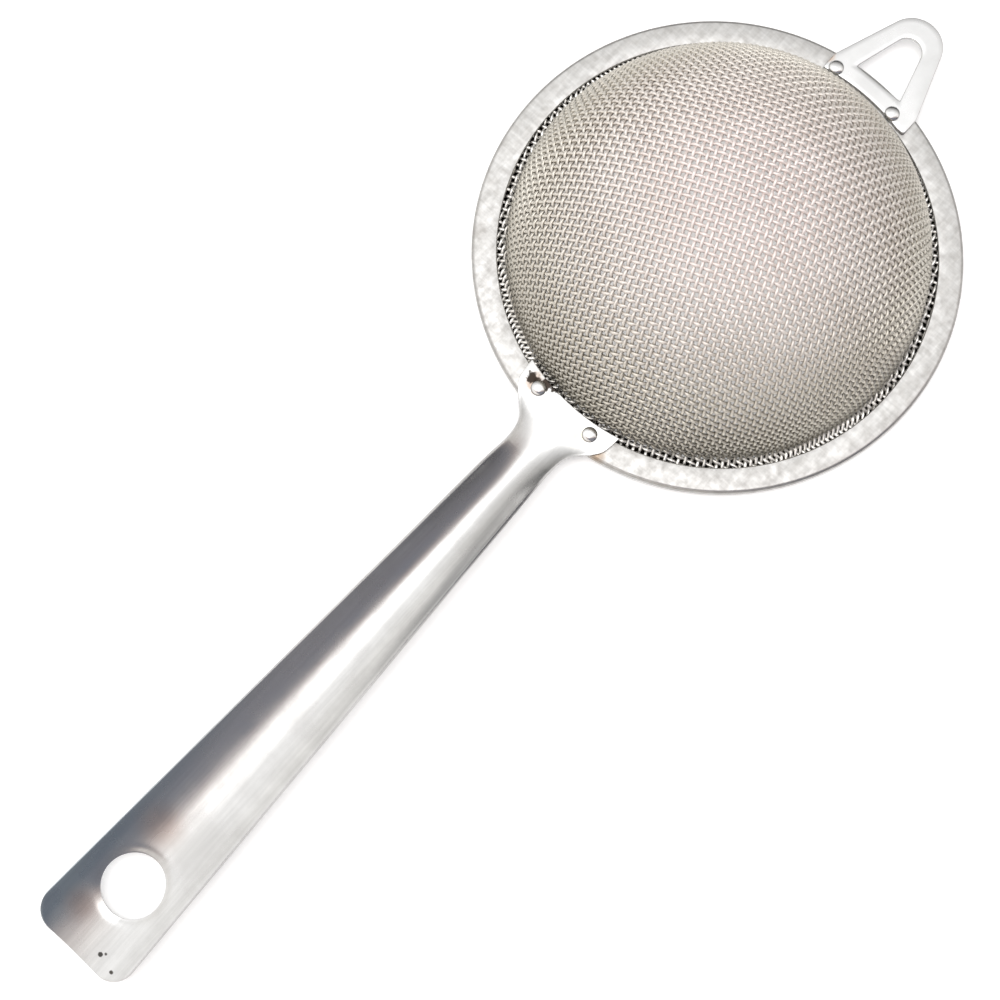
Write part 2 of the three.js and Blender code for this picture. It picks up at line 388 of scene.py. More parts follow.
def spot(finish, place, radius, soft, ragged):
    """1 inside a round patch, 0 outside: its place is given in plan, in mm from the ring's centre."""
    tree = finish["tree"]
    centre = ((place[0] + CENTRE_X) * MM, place[1] * MM, 0)
    plan = calc_vector(tree, "MULTIPLY", finish["coords"], (1, 1, 0))["Vector"]
    away = calc_vector(tree, "DISTANCE", plan, centre)["Value"]
    if ragged:
        noise = add(
            tree, "ShaderNodeTexNoise", {"Vector": finish["coords"], "Scale": 900.0, "Detail": 3.0}
        ).outputs["Fac"]
        wander = calc(tree, "MULTIPLY", calc(tree, "SUBTRACT", noise, 0.5), ragged * MM)
        away = calc(tree, "ADD", away, wander)
    return ramp(tree, away, (radius - soft) * MM, (radius + soft) * MM, 1.0, 0.0, "SMOOTHSTEP")


def shade(finish, value):
    """Multiplies the finish's colour by a grey."""
    tree = finish["tree"]
    finish["colour"] = blend_colours(tree, 1.0, finish["colour"], grey(tree, value), "MULTIPLY")


def tint(finish, where, share, colour):
    """Lays a colour over the finish, up to that share where the mask is 1."""
    tree = finish["tree"]
    strength = calc(tree, "MULTIPLY", where, share)
    finish["colour"] = blend_colours(tree, strength, finish["colour"], (*colour, 1))


def mark(finish, place, radius, soft, ragged, share, colour):
    """A spot of another colour: its sizes are in mm."""
    tint(finish, spot(finish, place, radius, soft, ragged), share, colour)


def finish_off(finish, bumps, depth):
    """Joins the colour, the gloss and a fine relief, its depth in mm, to the shader."""
    tree, shader = finish["tree"], finish["shader"]
    tree.links.new(finish["colour"], shader.inputs["Base Color"])
    tree.links.new(finish["rough"], shader.inputs["Roughness"])
    relief = add(
        tree, "ShaderNodeBump", {"Height": bumps, "Strength": 0.35, "Distance": depth * MM}
    )
    tree.links.new(relief.outputs["Normal"], shader.inputs["Normal"])
    print(f"{finish['material'].name}: {len(tree.nodes)} nodes")
    return finish["material"]


# %% [markdown]
# ## The woven bowl
#
# The bowl is plain-woven wire cloth pressed over a dome. A wire hardly stretches, so between two
# crossings it keeps its length, and the square cells of the flat cloth can only lean over into diamonds
# on the way down the dome. That is why the wires fan out near the ring. The dome's section comes first.
# It runs a little past the cloth's edge, so that a slope can be read at the edge too.

# %% The dome's section
BOWL_R = 42.5
BOWL_HEIGHT = 36.0
BOWL_SQUARENESS = 1.85
BOWL_FOOT = 2.2
CLOTH_EDGE_R = 49.0
PAST_EDGE = 4.0


def bowl_section():
    """Points of (radius, height) from the crown down to the flat edge inside the ring."""
    middle = RIM_THICK / 2
    foot_share = math.asin((BOWL_FOOT / BOWL_HEIGHT) ** (BOWL_SQUARENESS / 2))
    line = []
    steps = 300
    for i in range(steps + 1):
        angle = mix(math.pi / 2, foot_share, i / steps)
        r = BOWL_R * abs(math.cos(angle)) ** (2 / BOWL_SQUARENESS)
        z = middle + BOWL_HEIGHT * math.sin(angle) ** (2 / BOWL_SQUARENESS)
        line.append((0.0 if i == 0 else r, z))
    foot_r = line[-1][0] + BOWL_FOOT
    line += arc(foot_r, middle + BOWL_FOOT, BOWL_FOOT, 180, 270, 40)[1:]
    return line + [(CLOTH_EDGE_R, middle), (CLOTH_EDGE_R + PAST_EDGE, middle)]


section = np.array(bowl_section())
section_steps = np.hypot(*np.diff(section, axis=0).T)
section_reach = np.concatenate([[0.0], np.cumsum(section_steps)])
section_slope = np.gradient(section, section_reach, axis=0)
CLOTH_REACH = section_reach[-2]
print(f"the cloth reaches {CLOTH_REACH:.1f} mm from the crown to its edge")

# %% [markdown]
# Two wires cross at the crown and run straight down the dome. Every other crossing then follows from
# the two beside it: it is the point of the dome that lies one cell's side from each of them. Newton's
# method finds that point in a few steps.

# %% Every crossing of the cloth
CELL_SIDES = (1.33, 1.42)
LAY_ANGLES = (math.radians(-70.9), math.radians(24.0))
FIRST_STEP = 0.3
LONGEST_STEP = 0.8
MOST_TRIES = 20
CLOSE_ENOUGH = 1e-6


def dome_place(reach, turn):
    """A point of the dome, and how it moves with its distance from the crown and its turn."""
    r = np.interp(reach, section_reach, section[:, 0])
    z = np.interp(reach, section_reach, section[:, 1])
    slope_r = np.interp(reach, section_reach, section_slope[:, 0])
    slope_z = np.interp(reach, section_reach, section_slope[:, 1])
    c, s = math.cos(turn), math.sin(turn)
    point = np.array((r * c, r * s, z))
    return point, np.array((slope_r * c, slope_r * s, slope_z)), np.array((-r * s, r * c, 0.0))


def next_crossing(corner, beside_a, beside_b):
    """(reach, turn) of the crossing that closes a cell, or None where the cloth has run out."""
    point_a, point_b = dome_place(*beside_a)[0], dome_place(*beside_b)[0]
    guess = point_a + point_b - dome_place(*corner)[0]
    turn = math.atan2(guess[1], guess[0])
    reach = max(beside_a[0], beside_b[0]) + FIRST_STEP
    for _ in range(MOST_TRIES):
        point, by_reach, by_turn = dome_place(reach, turn)
        to_a, to_b = point - point_a, point - point_b
        miss = np.array((to_a @ to_a - CELL_SIDES[1] ** 2, to_b @ to_b - CELL_SIDES[0] ** 2))
        if abs(miss).max() < CLOSE_ENOUGH:
            return reach, turn
        rates = 2 * np.array(((to_a @ by_reach, to_a @ by_turn), (to_b @ by_reach, to_b @ by_turn)))
        if abs(np.linalg.det(rates)) < 1e-9:
            return None
        step = np.linalg.solve(rates, miss)
        sideways = abs(step[1]) * max(np.hypot(*point[:2]), 1)
        shorten = max(abs(step[0]) / LONGEST_STEP, sideways / LONGEST_STEP, 1)
        reach, turn = reach - step[0] / shorten, turn - step[1] / shorten
    return None


def lay_cloth():
    """{(i, j): (reach, turn)} of every crossing, i counted along one direction and j the other."""
    crossings = {(0, 0): (0.0, 0.0)}
    counts = [int(CLOTH_REACH / side) for side in CELL_SIDES]
    for sign in (1, -1):
        lean = 0 if sign == 1 else math.pi
        for i in range(1, counts[0] + 1):
            crossings[sign * i, 0] = (i * CELL_SIDES[0], LAY_ANGLES[0] + lean)
        for j in range(1, counts[1] + 1):
            crossings[0, sign * j] = (j * CELL_SIDES[1], LAY_ANGLES[1] + lean)
    for a in (1, -1):
        for b in (1, -1):
            for i in range(1, counts[0] + 1):
                for j in range(1, counts[1] + 1):
                    near = [crossings.get(key) for key in (
                        (a * (i - 1), b * (j - 1)), (a * i, b * (j - 1)), (a * (i - 1), b * j))]
                    found = None if None in near else next_crossing(*near)
                    if found and found[0] <= CLOTH_REACH:
                        crossings[a * i, b * j] = found
    return crossings


crossings = lay_cloth()
print("crossings in the cloth:", len(crossings))

# %% [markdown]
# The wire's finish: drawn steel, matt and faintly pink on the crown, where hands and spoons rub it, and
# glossier down the sides. Its colour by height is painted light and shade: bright on the crown, darker
# down the sides, darkest at the foot of the dome, and a painted highlight on the short flat lengths in
# the mouth of the fold. Where a wire dips under its neighbour, painted shade darkens it, more so lower
# on the
# dome: the weave below writes that height as the attribute `lift`.


# %% Drawn wire steel
# Colour by height with a faint pink tint: painted light on the crown, painted shade down the sides and
# at the foot, a painted highlight on the flat lengths in the fold.
TINT_AND_PAINTED_SHADE_BY_HEIGHT = [
    (0.045, (1.0, 0.99, 0.96)),
    (0.07, (0.42, 0.40, 0.35)),
    (0.20, (0.57, 0.545, 0.485)),
    (0.5, (0.71, 0.675, 0.61)),
    (0.8, (0.87, 0.82, 0.785)),
    (0.97, (0.95, 0.885, 0.865)),
]


def wire_steel():
    """Drawn steel whose colour, painted light and shade, and gloss follow its height on the dome."""
    finish = steel("wire_steel", (1.0, 1.0, 1.0), (0.95, 0.94, 0.93), None, 9.0)
    tree = finish["tree"]
    height = add(tree, "ShaderNodeSeparateXYZ", {0: finish["coords"]}).outputs["Z"]
    share = calc(tree, "DIVIDE", height, (BOWL_HEIGHT + RIM_THICK) * MM)
    # Painted light and shade by height on the dome.
    tint_and_painted_shade = colour_ramp(tree, share, TINT_AND_PAINTED_SHADE_BY_HEIGHT)
    finish["colour"] = blend_colours(tree, 1.0, finish["colour"], tint_and_painted_shade, "MULTIPLY")
    lift = add(tree, "ShaderNodeAttribute", attribute_name="lift").outputs["Fac"]
    # Painted shade where a wire dips under its neighbour, deeper lower on the dome.
    dip_shade = ramp(tree, share, 0.3, 0.9, 0.16, 0.9)
    shade(finish, ramp(tree, lift, -0.7, 0.35, dip_shade, 1.0))
    finish["rough"] = ramp(tree, share, 0.3, 0.9, 0.34, 0.62)
    return finish_off(finish, streaks(finish, (1, 1, 1), 2500), 0.01)


WIRE_STEEL = wire_steel()

# %% [markdown]
# Each direction of the weave starts as a thin mesh: a point at every crossing, joined along its wires.
# Two attributes tell the Geometry Nodes what they need there: the count of crossings, whose odd or even
# number says over or under, and the direction square to the dome. The tree then cuts each stretch
# in three, waves it over and under, and sweeps a small circle along it.

# %% Geometry Nodes for one direction of the weave
WEAVE_INPUTS = {
    "Wave Height": "NodeSocketFloat",
    "Wire Radius": "NodeSocketFloat",
    "Cuts": "NodeSocketInt",
    "Wire Sides": "NodeSocketInt",
    "Wire Steel": "NodeSocketMaterial",
}


def new_tree(name, inputs):
    """An empty Geometry Nodes tree with these inputs, and geometry in and out."""
    tree = bpy.data.node_groups.new(name, "GeometryNodeTree")
    tree.interface.new_socket("Geometry", in_out="INPUT", socket_type="NodeSocketGeometry")
    for label, kind in inputs.items():
        tree.interface.new_socket(label, in_out="INPUT", socket_type=kind)
    tree.interface.new_socket("Geometry", in_out="OUTPUT", socket_type="NodeSocketGeometry")
    return tree


def weave_tree():
    """Turns lines of crossings into waved round wires."""
    tree = new_tree("woven_cloth", WEAVE_INPUTS)
    given = add(tree, "NodeGroupInput").outputs
    lines = add(tree, "GeometryNodeMeshToCurve", {"Mesh": given["Geometry"]}).outputs["Curve"]
    finer = add(
        tree, "GeometryNodeSubdivideCurve", {"Curve": lines, "Cuts": given["Cuts"]}
    ).outputs["Curve"]
    count = add(
        tree, "GeometryNodeInputNamedAttribute", {"Name": "crossing"}, data_type="FLOAT"
    ).outputs["Attribute"]
    outward = add(
        tree, "GeometryNodeInputNamedAttribute", {"Name": "outward"}, data_type="FLOAT_VECTOR"
    ).outputs["Attribute"]
    wave = calc(
        tree,
        "MULTIPLY",
        calc(tree, "COSINE", calc(tree, "MULTIPLY", count, math.pi)),
        given["Wave Height"],
    )
    lift = add(
        tree, "ShaderNodeVectorMath", {0: outward, "Scale": wave}, operation="SCALE"
    ).outputs[0]
    waved = add(tree, "GeometryNodeSetPosition", {"Geometry": finer, "Offset": lift}).outputs[0]
    marked = add(
        tree,
        "GeometryNodeStoreNamedAttribute",
        {"Geometry": waved, "Name": "lift", "Value": calc(tree, "DIVIDE", wave, given["Wire Radius"])},
        data_type="FLOAT",
        domain="POINT",
    ).outputs[0]
    circle = add(
        tree,
        "GeometryNodeCurvePrimitiveCircle",
        {"Resolution": given["Wire Sides"], "Radius": given["Wire Radius"]},
    ).outputs["Curve"]
    wires = add(
        tree,
        "GeometryNodeCurveToMesh",
        {"Curve": marked, "Profile Curve": circle, "Fill Caps": True},
    ).outputs["Mesh"]
    soft = add(tree, "GeometryNodeSetShadeSmooth", {"Geometry": wires}).outputs[0]
    real = add(tree, "GeometryNodeRealizeInstances", {"Geometry": soft}).outputs[0]
    done = add(
        tree, "GeometryNodeSetMaterial", {"Geometry": real, "Material": given["Wire Steel"]}
    ).outputs[0]
    add(tree, "NodeGroupOutput", {0: done})
    return tree


cloth_tree = weave_tree()
print("woven cloth:", len(cloth_tree.nodes), "nodes")

# %% [markdown]
# A modifier's inputs are known by an identifier, not by their label, so the helper looks each one up.
# It then takes the evaluated result as a plain mesh and drops the modifier.


# %% Run a tree and keep its result as a mesh
def grown(name, start_mesh, tree, values):
    """The plain piece that a tree makes from a start mesh with these input values."""
    source = bpy.data.objects.new(name + "_source", start_mesh)
    bpy.context.scene.collection.objects.link(source)
    modifier = source.modifiers.new("nodes", "NODES")
    modifier.node_group = tree
    for socket in tree.interface.items_tree:
        if socket.in_out == "INPUT" and socket.name in values:
            modifier[socket.identifier] = values[socket.name]
    evaluated = source.evaluated_get(bpy.context.evaluated_depsgraph_get())
    mesh = bpy.data.meshes.new_from_object(evaluated)
    mesh.name = name
    bpy.data.objects.remove(source)
    piece = bpy.data.objects.new(name, mesh)
    bpy.context.scene.collection.objects.link(piece)
    print(f"{name}: {sum(len(face.vertices) - 2 for face in mesh.polygons)} triangles")
    return piece


# %% [markdown]
# One direction starts above the crossing at the crown and the other below it, so the two waves are
# each other's opposite. The fold of the ring presses the edge of the cloth flatter, so over its last
# few millimetres the wave is less high and two wires still fit between the lips.

# %% Both directions of the weave
WIRE_R = 0.37
WAVE = 0.28
PRESSED_SHARE = 0.4
PRESS_START = 5.5
PRESS_FULL = 4.0


def wire_lines(name, step):
    """The mesh that one direction grows from: a line of crossings for each of its wires."""
    order = {key: index for index, key in enumerate(sorted(crossings))}
    points, outward = [], []
    for key in sorted(crossings):
        reach, turn = crossings[key]
        point = dome_place(reach, turn)[0]
        slope_r = np.interp(reach, section_reach, section_slope[:, 0])
        slope_z = np.interp(reach, section_reach, section_slope[:, 1])
        points.append(((point[0] + CENTRE_X) * MM, point[1] * MM, point[2] * MM))
        pressed = smooth_share(reach, CLOTH_REACH - PRESS_START, CLOTH_REACH - PRESS_FULL)
        height = mix(1, PRESSED_SHARE, pressed)
        outward += [-slope_z * math.cos(turn) * height, -slope_z * math.sin(turn) * height,
                    slope_r * height]
    edges = []
    for (i, j), index in order.items():
        beyond = order.get((i + step[0], j + step[1]))
        if beyond is not None:
            edges.append((index, beyond))
    mesh = bpy.data.meshes.new(name)
    mesh.from_pydata(points, edges, [])
    counts = mesh.attributes.new("crossing", "FLOAT", "POINT")
    counts.data.foreach_set("value", [float(i + j) for i, j in sorted(crossings)])
    square = mesh.attributes.new("outward", "FLOAT_VECTOR", "POINT")
    square.data.foreach_set("vector", outward)
    return mesh


WEAVE_DIRECTIONS = [("bowl_warp", (1, 0), 1), ("bowl_weft", (0, 1), -1)]
weave = {}
for name, step, side in WEAVE_DIRECTIONS:
    weave[name] = grown(
        name,
        wire_lines(name + "_lines", step),
        cloth_tree,
        {
            "Wave Height": side * WAVE * MM,
            "Wire Radius": WIRE_R * MM,
            "Cuts": 2,
            "Wire Sides": 5,
            "Wire Steel": WIRE_STEEL,
        },
    )

# %% [markdown]
# ## The ring
#
# The ring is one strip of sheet steel whose outer edge is folded back under, so that it grips the edge
# of the cloth. Its section is turned round the axis: a rounded top lip, the round fold outside, and the
# under lip, with the slot for the cloth between them. Painted shade keeps the inside of the fold nearly
# black, and shows between the wires all round the foot of the bowl.

# %% Ring steel, worn by use
RING_SHEET = 0.5
PAINTED_FOLD_SHADE = (0.03, 0.027, 0.022)
RING_BROWN_PATCH = (0.30, 0.18, 0.08)
SCUFF = (0.24, 0.22, 0.2)


def inside_fold(finish):
    """1 on the faces that look into the fold, and 0 on the ring's outside."""
    tree = finish["tree"]
    centre = (CENTRE_X * MM, 0, RIM_THICK / 2 * MM)
    from_centre = calc_vector(tree, "SUBTRACT", finish["coords"], centre)["Vector"]
    plan = calc_vector(tree, "MULTIPLY", from_centre, (1, 1, 0))["Vector"]
    radius = calc_vector(tree, "LENGTH", plan)["Value"]
    height = add(tree, "ShaderNodeSeparateXYZ", {0: from_centre}).outputs["Z"]
    inner = calc(tree, "LESS_THAN", radius, (RIM_R - RING_SHEET * 0.9) * MM)
    below_top = calc(tree, "LESS_THAN", height, (RIM_THICK / 2 - RING_SHEET * 0.9) * MM)
    above_under = calc(tree, "GREATER_THAN", height, (RING_SHEET * 0.5 - RIM_THICK / 2) * MM)
    return calc(tree, "MULTIPLY", calc(tree, "MULTIPLY", inner, below_top), above_under)


def ring_steel():
    """Dull steel with scratches both ways, painted shade in the fold, and two marks on top."""
    finish = steel("ring_steel", (0.505, 0.498, 0.487), (0.44, 0.43, 0.415), (0.30, 0.46), 1.8)
    tree = finish["tree"]
    scratch = streaks(finish, (1, 0.07, 1), 1400, 0.7, 2.0)
    cross = streaks(finish, (0.09, 1, 1), 1100, 0.35, 5.0)
    both = calc(tree, "MULTIPLY", calc(tree, "ADD", scratch, cross), 0.5)
    shade(finish, ramp(tree, both, 0.38, 0.62, 0.84, 1.06))
    # Painted shade: near black on the faces inside the fold.
    tint(finish, inside_fold(finish), 1.0, PAINTED_FOLD_SHADE)
    # A brown patch on the ring just beside the edge of the handle's flange.
    mark(finish, (-48.0, -9.9), 1.3, 1.2, 1.0, 0.6, RING_BROWN_PATCH)
    mark(finish, (-29.7, 38.8), 1.6, 1.4, 2.0, 0.35, SCUFF)
    return finish_off(finish, both, 0.03)


RING_STEEL = ring_steel()

# %% [markdown]
# The section is one closed line: first the inside of the slot, from the top lip in to the fold and back
# out along the under lip, and then the outside, from the under lip round the fold to the top lip. Both
# flat faces have one more point on the way, so that the shading of the round edges stays near them.

# %% The folded ring
TOP_LIP_R = 44.8
UNDER_LIP_R = 42.8
LIP_ROUNDING = 0.22
FOLD_ROUNDING = 0.8
SLOT_CORNER = 0.3
TOP_FLAT_R = 47.0
UNDER_FLAT_R = 47.4
RING_STEPS = 256


def make_ring():
    """The folded ring, turned from its section."""
    slot_top = RIM_THICK - RING_SHEET
    inside = RIM_R - RING_SHEET
    fold_r = RIM_R - FOLD_ROUNDING
    profile = [
        (TOP_LIP_R + 0.05, slot_top),
        (inside - SLOT_CORNER, slot_top),
        (inside, slot_top - SLOT_CORNER),
        (inside, RING_SHEET + SLOT_CORNER),
        (inside - SLOT_CORNER, RING_SHEET),
        (UNDER_LIP_R + 0.05, RING_SHEET),
        (UNDER_LIP_R, RING_SHEET - 0.1),
    ]
    profile += arc(UNDER_LIP_R + LIP_ROUNDING, LIP_ROUNDING, LIP_ROUNDING, 180, 270, 4)
    profile += [(UNDER_FLAT_R, 0)]
    profile += arc(fold_r, FOLD_ROUNDING, FOLD_ROUNDING, -90, 0, 8)
    profile += arc(fold_r, RIM_THICK - FOLD_ROUNDING, FOLD_ROUNDING, 0, 90, 8)
    profile += [(TOP_FLAT_R, RIM_THICK)]
    profile += arc(TOP_LIP_R + LIP_ROUNDING, RIM_THICK - LIP_ROUNDING, LIP_ROUNDING, 90, 180, 4)
    points, faces = turned(profile, RING_STEPS)
    return new_piece("ring", points, faces, RING_STEEL)


ring = make_ring()
print("ring faces:", len(ring.data.polygons))

# %% [markdown]
# ## The handle
#
# The handle is one pressed strip: a flat flange riveted to the ring, a narrow neck, then a long channel
# that widens to a rounded end with a hanging hole. The sheet is drawn flat first, as it would be cut
# from strip, and the channel is pressed in by giving every point its height. Its walls rise with the
# square of the distance from the middle, and the sheet dips a little round the punched hole.

# %% The handle's outline
HANDLE_SHEET = 0.8
END_X = -186.0
END_HALF_WIDTH = 11.4
CORNER_R = 5.0
NECK_X = -58.0
NECK_HALF_WIDTH = 5.4
FLANGE_R = 44.0
FLANGE_SHIFT = 0.8
CHANNEL_START_X = -47.0
CHANNEL_FULL_X = -66.0
NECK_DEPTH = 3.2
END_DEPTH = 1.9
HOLE_X = -169.8
HOLE_R = 6.3
DIP_REACH = 3.0
DIP_DEPTH = 0.28
DIP_WIDTH = 0.9
FLARE = [(-58, 5.4), (-54.7, 5.7), (-52.2, 6.6), (-50.2, 8.4), (-48.4, 10.1), (-46.2, 11.4),
         (-42.3, 11.85)]


def taper(x):
    """Half the channel's width at that distance along it."""
    return mix(NECK_HALF_WIDTH, END_HALF_WIDTH, (x - NECK_X) / (END_X - NECK_X))


def spline(points, steps):
    """A smooth line through the points."""
    line = []
    padded = [points[0], *points, points[-1]]
    for p0, p1, p2, p3 in zip(padded, padded[1:], padded[2:], padded[3:]):
        for i in range(steps):
            t = i / steps
            line.append(tuple(
                0.5 * (2 * b + (c - a) * t + (2 * a - 5 * b + 4 * c - d) * t * t
                       + (3 * b - a - 3 * c + d) * t ** 3)
                for a, b, c, d in zip(p0, p1, p2, p3)
            ))
    return [*line, points[-1]]


def channel_height(x, y, half_width):
    """How high the middle of the sheet stands above the flange at a point of the flat cut."""
    rise = smooth_share(-x, -CHANNEL_START_X, -CHANNEL_FULL_X)
    share = min(max((x - CHANNEL_FULL_X) / (END_X - CHANNEL_FULL_X), 0), 1)
    height = rise * mix(NECK_DEPTH, END_DEPTH, share) * (y / half_width) ** 2
    from_hole = math.dist((x, y), (HOLE_X, 0)) - HOLE_R
    if from_hole < DIP_REACH:
        height -= DIP_DEPTH * math.exp(-((from_hole / DIP_WIDTH) ** 2))
    return height


print("half width at the hanging hole:", round(taper(HOLE_X), 2))

# %% [markdown]
# The sheet is a grid of faces: a row of stations along the handle, and equal steps across it. One block
# of the grid is left open round the hole and filled with rings that turn from the block's square into
# the hole's circle, so the cut edge is a true circle.

# %% The flat cut of the handle, pressed to shape
ROWS = 24
END_STEPS = 12
STATION_STEP = 1.6
FLARE_STEPS = 7
HOLE_BLOCK = 9.0
HOLE_RINGS = 10
HOLE_RING_CROWDING = 1.6
BEND_START_X = -54
SHIFT_FULL_X = -46


def handle_columns(start, end):
    """Even stations from start to end."""
    count = max(1, round(abs(end - start) / STATION_STEP))
    return [mix(start, end, i / count) for i in range(count + 1)]


def handle_stations():
    """(x, half width of the sheet, half width of the channel), from the end to the flange."""
    stations = []
    for i in range(END_STEPS + 1):
        angle = i / END_STEPS * math.pi / 2
        x = END_X + CORNER_R * (1 - math.cos(angle))
        stations.append((x, taper(x) - CORNER_R * (1 - math.sin(angle)), taper(x)))
    breaks = [END_X + CORNER_R, HOLE_X - HOLE_BLOCK, HOLE_X + HOLE_BLOCK, NECK_X]
    for start, end in zip(breaks, breaks[1:]):
        inner = [end] if end == breaks[2] else handle_columns(start, end)[1:]
        stations += [(x, taper(x), taper(x)) for x in inner]
    return stations + [(x, width, width) for x, width in spline(FLARE, FLARE_STEPS)[1:]]


def handle_sheet():
    """Points and faces of the sheet's middle, with the flange's edge bent to its circle."""
    stations = handle_stations()
    flange_edge_x = FLARE[-1][0]
    points, faces, columns = [], [], []
    for x, half_width, channel_half_width in stations:
        column = []
        pull = smooth_share(x, BEND_START_X, flange_edge_x) ** 2
        shift = FLANGE_SHIFT * smooth_share(x, NECK_X, SHIFT_FULL_X)
        for j in range(ROWS + 1):
            y = half_width * (2 * j / ROWS - 1)
            height = channel_height(x, y, channel_half_width)
            arc_x = -math.sqrt(FLANGE_R ** 2 - (y + shift) ** 2)
            column.append(len(points))
            points.append((x + pull * (arc_x - flange_edge_x), y + shift, height))
        columns.append(column)
    block = [i for i, (x, _, _) in enumerate(stations) if abs(x - (HOLE_X - HOLE_BLOCK)) < 1e-6][0]
    for i, (left, right) in enumerate(zip(columns, columns[1:])):
        if i != block:
            for j in range(ROWS):
                faces.append((left[j], right[j], right[j + 1], left[j + 1]))
    add_hole_patch(points, faces, columns[block], columns[block + 1])
    middle = PLATE_LOW + HANDLE_SHEET / 2
    return [(x, y, z + middle) for x, y, z in points], faces


def block_side(points, first, last):
    """New points along one long side of the open block, between two of its corners."""
    start, end = points[first], points[last]
    made = []
    for i in range(1, ROWS):
        x = mix(start[0], end[0], i / ROWS)
        y = math.copysign(taper(x), start[1])
        made.append(len(points))
        points.append((x, y, channel_height(x, y, taper(x))))
    return made


def add_hole_patch(points, faces, left, right):
    """Rings from the block round the hole down to the hole's own circle."""
    far_side = block_side(points, right[-1], left[-1])
    near_side = block_side(points, left[0], right[0])
    loop = right + far_side + left[::-1] + near_side
    outer = loop
    for ring_index in range(1, HOLE_RINGS + 1):
        share = 1 - (1 - ring_index / HOLE_RINGS) ** HOLE_RING_CROWDING
        inner = []
        for index in loop:
            x, y, _ = points[index]
            angle = math.atan2(y, x - HOLE_X)
            px = mix(x, HOLE_X + HOLE_R * math.cos(angle), share)
            py = mix(y, HOLE_R * math.sin(angle), share)
            inner.append(len(points))
            points.append((px, py, channel_height(px, py, taper(px))))
        for k in range(len(loop)):
            m = (k + 1) % len(loop)
            faces.append((outer[k], outer[m], inner[m], inner[k]))
        outer = inner


handle_points, handle_faces = handle_sheet()
print("handle sheet faces:", len(handle_faces))

# %% [markdown]
# Two modifiers finish a flat sheet: Solidify gives it its thickness, and Bevel rounds the cut edges.


# %% Sheet thickness and rounded edges
def thick_and_rounded(piece, thickness, rounding):
    """Live Solidify and Bevel, their sizes in mm."""
    solid = piece.modifiers.new("sheet", "SOLIDIFY")
    solid.thickness = thickness * MM
    solid.offset = 0
    solid.use_even_offset = True
    bevel = piece.modifiers.new("cut_edges", "BEVEL")
    bevel.width = rounding * MM
    bevel.segments = 3
    bevel.limit_method = "ANGLE"
    bevel.angle_limit = math.radians(50)
    bevel.harden_normals = False
    return piece


# %% [markdown]
# The handle's steel is polished along its length and has seen heat and water: a yellow tint beside one
# rivet, a dark burn with a rusty edge beside the other, and a few specks near the end. It also has a
# brown patch on both sides of the hole, and a painted blue grey reflection down one wall towards the
# end, on the wall that shows the dark side of the studio. The rust is laid on before the burn, so that
# the burn stays black.

# %% Handle steel
HANDLE_BROWN_PATCH = (0.33, 0.24, 0.20)
YELLOW_TINT = (0.52, 0.41, 0.22)
GREY_SCUFF = (0.30, 0.27, 0.25)
RUST = (0.20, 0.11, 0.05)
BURN = (0.02, 0.015, 0.012)
PALER_BURN = (0.025, 0.018, 0.014)
SPECK = (0.04, 0.035, 0.03)
DARKER_SPECK = (0.03, 0.028, 0.025)
PAINTED_BLUE_REFLECTION = (0.16, 0.24, 0.29)
HANDLE_MARKS = [
    # (place, radius, softness, raggedness, strength, colour), all sizes in mm
    # A brown patch on both sides of the hole.
    ((-158.0, 3.8), 3.6, 2.6, 0.0, 0.45, HANDLE_BROWN_PATCH),
    ((-178.5, 5.0), 2.6, 2.2, 0.0, 0.45, HANDLE_BROWN_PATCH),
    ((-48.0, -4.2), 1.7, 1.6, 0.0, 0.6, YELLOW_TINT),
    ((-49.0, -0.8), 0.7, 0.6, 1.0, 0.45, GREY_SCUFF),
    ((-45.4, 9.0), 1.9, 0.9, 2.2, 0.6, RUST),
    ((-45.1, 10.3), 1.1, 0.25, 2.2, 0.98, BURN),
    ((-44.6, 8.6), 0.9, 0.25, 2.4, 0.98, BURN),
    ((-43.7, 7.2), 1.3, 0.25, 2.4, 0.98, PALER_BURN),
    ((-43.4, 5.2), 0.9, 0.25, 2.2, 0.98, BURN),
    ((-183.1, -4.3), 0.45, 0.12, 0.9, 0.95, DARKER_SPECK),
    ((-182.2, -5.0), 0.3, 0.12, 0.6, 0.95, SPECK),
    ((-183.8, -8.1), 0.35, 0.12, 0.6, 0.95, SPECK),
]
WALL_START, WALL_FULL = 0.42 * END_HALF_WIDTH, 0.75 * END_HALF_WIDTH
REFLECTION_START_X, REFLECTION_FULL_X = -115, -165


def handle_steel():
    """Brushed steel, a painted blue grey reflection on one wall towards the end, and its marks."""
    finish = steel("handle_steel", (0.53, 0.526, 0.52), (0.45, 0.444, 0.437), (0.20, 0.32), 12.0)
    tree = finish["tree"]
    brushed = streaks(finish, (0.03, 1, 1), 1500, 0.0, 1.0)
    bands = streaks(finish, (0.012, 1, 1), 420, 0.0, 4.0)
    both = calc(tree, "MULTIPLY", calc(tree, "ADD", brushed, bands), 0.5)
    shade(finish, ramp(tree, both, 0.36, 0.64, 0.90, 1.04))
    parts = add(tree, "ShaderNodeSeparateXYZ", {0: finish["coords"]}).outputs
    wall = ramp(tree, parts["Y"], WALL_START * MM, WALL_FULL * MM)
    far_end = ramp(
        tree, parts["X"], (CENTRE_X + REFLECTION_START_X) * MM, (CENTRE_X + REFLECTION_FULL_X) * MM
    )
    # Painted reflection: blue grey on the wall that faces the dark side of the studio, towards the end.
    tint(finish, calc(tree, "MULTIPLY", wall, far_end), 0.6, PAINTED_BLUE_REFLECTION)
    for handle_mark in HANDLE_MARKS:
        mark(finish, *handle_mark)
    return finish_off(finish, both, 0.02)


